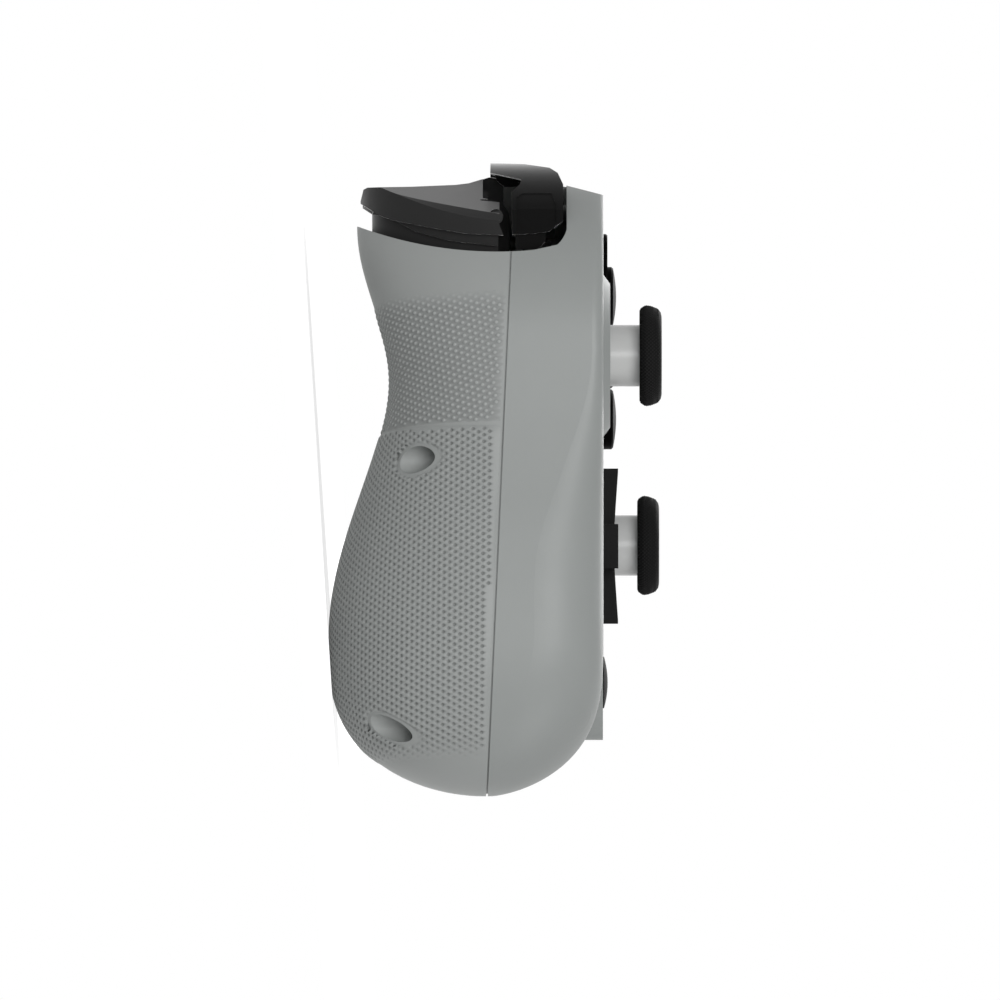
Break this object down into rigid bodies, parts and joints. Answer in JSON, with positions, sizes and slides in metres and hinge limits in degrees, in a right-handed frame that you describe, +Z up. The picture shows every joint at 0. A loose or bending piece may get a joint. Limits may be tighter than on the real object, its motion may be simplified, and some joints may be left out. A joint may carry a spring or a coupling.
{
  "type": "gamepad",
  "caption": "Two-handed gamepad with two tilting sticks, directional pad, face buttons, bumpers and triggers in a two-shell housing with textured grips.",
  "frame": {"origin": "centre of the base of the bounding box, on the surface that the pad lies on", "axes": "+Z up, +Y towards the shoulders, +X to the player's right; the face leans 3.7 degrees towards the shoulders"},
  "size_m": [0.156, 0.1096, 0.0612],
  "materials": {
    "front_shell": "satin moulded",
    "rear_shell": "textured grip",
    "black_frame": "matte moulded",
    "lever_black": "satin moulded",
    "dpad_black": "satin moulded",
    "face_button_black": "polished dome",
    "small_button_black": "satin moulded",
    "stem_grey": "satin moulded",
    "cap_rubber": "knurled rubber",
    "module_steel": "pressed tin-plated sheet",
    "module_plastic": "natural acetal",
    "board_green": "solder mask",
    "silicone": "translucent grey silicone",
    "battery_wrap": "shrink wrap",
    "motor_steel": "drawn can",
    "weight_tungsten": "sintered metal",
    "pin_steel": "ground",
    "spring_steel": "wound wire",
    "screw_steel": "blackened",
    "socket_metal": "stamped",
    "jack_plastic": "moulded"
  },
  "bodies": {
    "root": {"front_shell": "front_shell", "rear_shell": "rear_shell", "left_shoulder_frame": "black_frame", "right_shoulder_frame": "black_frame", "main_board": "board_green", "battery_pack": "battery_wrap", "left_stick_housing": "module_steel", "right_stick_housing": "module_steel", "dpad_post": "module_plastic", "dpad_pad": "silicone", "face_button_pad": "silicone", "left_trigger_pin": "pin_steel", "right_trigger_pin": "pin_steel", "left_trigger_spring": "spring_steel", "right_trigger_spring": "spring_steel", "left_rumble_motor": "motor_steel", "right_rumble_motor": "motor_steel", "headphone_jack": "jack_plastic", "usb_c_port": "socket_metal", "housing_screws": "screw_steel", "board_screws": "screw_steel"},
    "left_stick_saddle": {"left_stick_saddle": "module_plastic"},
    "left_stick_yoke": {"left_stick_yoke": "module_plastic"},
    "left_stick_stem": {"left_stick_stem": "stem_grey", "left_stick_cap": "cap_rubber"},
    "left_stick_bow": {"left_stick_bow": "module_plastic"},
    "right_stick_saddle": {"right_stick_saddle": "module_plastic"},
    "right_stick_yoke": {"right_stick_yoke": "module_plastic"},
    "right_stick_stem": {"right_stick_stem": "stem_grey", "right_stick_cap": "cap_rubber"},
    "right_stick_bow": {"right_stick_bow": "module_plastic"},
    "dpad_ball": {"dpad_ball": "pin_steel"},
    "directional_pad": {"directional_pad": "dpad_black"},
    "button_east": {"button_east": "face_button_black"},
    "button_north": {"button_north": "face_button_black"},
    "button_west": {"button_west": "face_button_black"},
    "button_south": {"button_south": "face_button_black"},
    "select_button": {"select_button": "small_button_black"},
    "start_button": {"start_button": "small_button_black"},
    "capture_button": {"capture_button": "small_button_black"},
    "home_button": {"home_button": "small_button_black"},
    "left_bumper": {"left_bumper": "lever_black"},
    "left_trigger": {"left_trigger": "lever_black"},
    "left_rumble_weight": {"left_rumble_weight": "weight_tungsten"},
    "right_bumper": {"right_bumper": "lever_black"},
    "right_trigger": {"right_trigger": "lever_black"},
    "right_rumble_weight": {"right_rumble_weight": "weight_tungsten"}
  },
  "joints": [
    {"name": "left_stick_click", "type": "slide", "parent": "root", "child": "left_stick_saddle", "axis": [0, 0.064, -0.9979], "range_m": [0, 0.0005], "stiffness_N_per_m": 2000, "springref_m": -0.0006},
    {"name": "left_stick_tilt_updown", "type": "hinge", "parent": "left_stick_saddle", "child": "left_stick_yoke", "pos_m": [-0.05, 0.02086, 0.04017], "axis": [1, 0, 0], "range_deg": [-15, 15], "stiffness_Nm_per_rad": 0.02},
    {"name": "left_stick_tilt_sideways", "type": "hinge", "parent": "left_stick_yoke", "child": "left_stick_stem", "pos_m": [-0.05, 0.02086, 0.04017], "axis": [0, 0.9979, 0.064], "range_deg": [-15, 15], "stiffness_Nm_per_rad": 0.02},
    {"name": "left_stick_bow_turn", "type": "hinge", "parent": "root", "child": "left_stick_bow", "pos_m": [-0.05, 0.02086, 0.04017], "axis": [0, 0.9979, 0.064], "range_deg": [-15, 15]},
    {"name": "right_stick_click", "type": "slide", "parent": "root", "child": "right_stick_saddle", "axis": [0, 0.064, -0.9979], "range_m": [0, 0.0005], "stiffness_N_per_m": 2000, "springref_m": -0.0006},
    {"name": "right_stick_tilt_updown", "type": "hinge", "parent": "right_stick_saddle", "child": "right_stick_yoke", "pos_m": [0.044, -0.01212, 0.03805], "axis": [1, 0, 0], "range_deg": [-15, 15], "stiffness_Nm_per_rad": 0.02},
    {"name": "right_stick_tilt_sideways", "type": "hinge", "parent": "right_stick_yoke", "child": "right_stick_stem", "pos_m": [0.044, -0.01212, 0.03805], "axis": [0, 0.9979, 0.064], "range_deg": [-15, 15], "stiffness_Nm_per_rad": 0.02},
    {"name": "right_stick_bow_turn", "type": "hinge", "parent": "root", "child": "right_stick_bow", "pos_m": [0.044, -0.01212, 0.03805], "axis": [0, 0.9979, 0.064], "range_deg": [-15, 15]},
    {"name": "dpad_rock_updown", "type": "hinge", "parent": "root", "child": "dpad_ball", "pos_m": [-0.044, -0.0126, 0.04553], "axis": [1, 0, 0], "range_deg": [-5, 5], "stiffness_Nm_per_rad": 0.5, "deforming": ["dpad_pad"]},
    {"name": "dpad_rock_sideways", "type": "hinge", "parent": "dpad_ball", "child": "directional_pad", "pos_m": [-0.044, -0.0126, 0.04553], "axis": [0, 0.9979, 0.064], "range_deg": [-5, 5], "stiffness_Nm_per_rad": 0.5},
    {"name": "button_east_press", "type": "slide", "parent": "root", "child": "button_east", "axis": [0, 0.064, -0.9979], "range_m": [0, 0.0015], "stiffness_N_per_m": 500, "springref_m": -0.0005, "deforming": ["face_button_pad"]},
    {"name": "button_north_press", "type": "slide", "parent": "root", "child": "button_north", "axis": [0, 0.064, -0.9979], "range_m": [0, 0.0015], "stiffness_N_per_m": 500, "springref_m": -0.0005, "deforming": ["face_button_pad"]},
    {"name": "button_west_press", "type": "slide", "parent": "root", "child": "button_west", "axis": [0, 0.064, -0.9979], "range_m": [0, 0.0015], "stiffness_N_per_m": 500, "springref_m": -0.0005, "deforming": ["face_button_pad"]},
    {"name": "button_south_press", "type": "slide", "parent": "root", "child": "button_south", "axis": [0, 0.064, -0.9979], "range_m": [0, 0.0015], "stiffness_N_per_m": 500, "springref_m": -0.0005, "deforming": ["face_button_pad"]},
    {"name": "select_button_press", "type": "slide", "parent": "root", "child": "select_button", "axis": [0, 0.064, -0.9979], "range_m": [0, 0.0005], "stiffness_N_per_m": 1500, "springref_m": -0.0003},
    {"name": "start_button_press", "type": "slide", "parent": "root", "child": "start_button", "axis": [0, 0.064, -0.9979], "range_m": [0, 0.0005], "stiffness_N_per_m": 1500, "springref_m": -0.0003},
    {"name": "capture_button_press", "type": "slide", "parent": "root", "child": "capture_button", "axis": [0, 0.064, -0.9979], "range_m": [0, 0.0005], "stiffness_N_per_m": 1500, "springref_m": -0.0003},
    {"name": "home_button_press", "type": "slide", "parent": "root", "child": "home_button", "axis": [0, 0.064, -0.9979], "range_m": [0, 0.0005], "stiffness_N_per_m": 1500, "springref_m": -0.0003},
    {"name": "left_bumper_press", "type": "hinge", "parent": "root", "child": "left_bumper", "pos_m": [-0.0255, 0.04554, 0.04125], "axis": [0, -0.064, 0.9979], "range_deg": [0, 1.4], "stiffness_Nm_per_rad": 2, "springref_deg": -0.57},
    {"name": "left_trigger_press", "type": "hinge", "parent": "root", "child": "left_trigger", "pos_m": [-0.042, 0.04543, 0.03363], "axis": [-1, 0, 0], "range_deg": [0, 8], "stiffness_Nm_per_rad": 0.3, "springref_deg": -8.59, "deforming": ["left_trigger_spring"]},
    {"name": "left_rumble_spin", "type": "hinge", "parent": "root", "child": "left_rumble_weight", "pos_m": [-0.048, -0.02623, 0.0166], "axis": [1, 0, 0], "continuous": true},
    {"name": "right_bumper_press", "type": "hinge", "parent": "root", "child": "right_bumper", "pos_m": [0.0255, 0.04554, 0.04125], "axis": [0, 0.064, -0.9979], "range_deg": [0, 1.4], "stiffness_Nm_per_rad": 2, "springref_deg": -0.57},
    {"name": "right_trigger_press", "type": "hinge", "parent": "root", "child": "right_trigger", "pos_m": [0.042, 0.04543, 0.03363], "axis": [-1, 0, 0], "range_deg": [0, 8], "stiffness_Nm_per_rad": 0.3, "springref_deg": -8.59, "deforming": ["right_trigger_spring"]},
    {"name": "right_rumble_spin", "type": "hinge", "parent": "root", "child": "right_rumble_weight", "pos_m": [0.048, -0.02623, 0.0166], "axis": [1, 0, 0], "continuous": true}
  ],
  "couplings": [
    {"joint": "left_stick_bow_turn", "follows": "left_stick_tilt_sideways", "ratio": 1},
    {"joint": "right_stick_bow_turn", "follows": "right_stick_tilt_sideways", "ratio": 1}
  ]
}
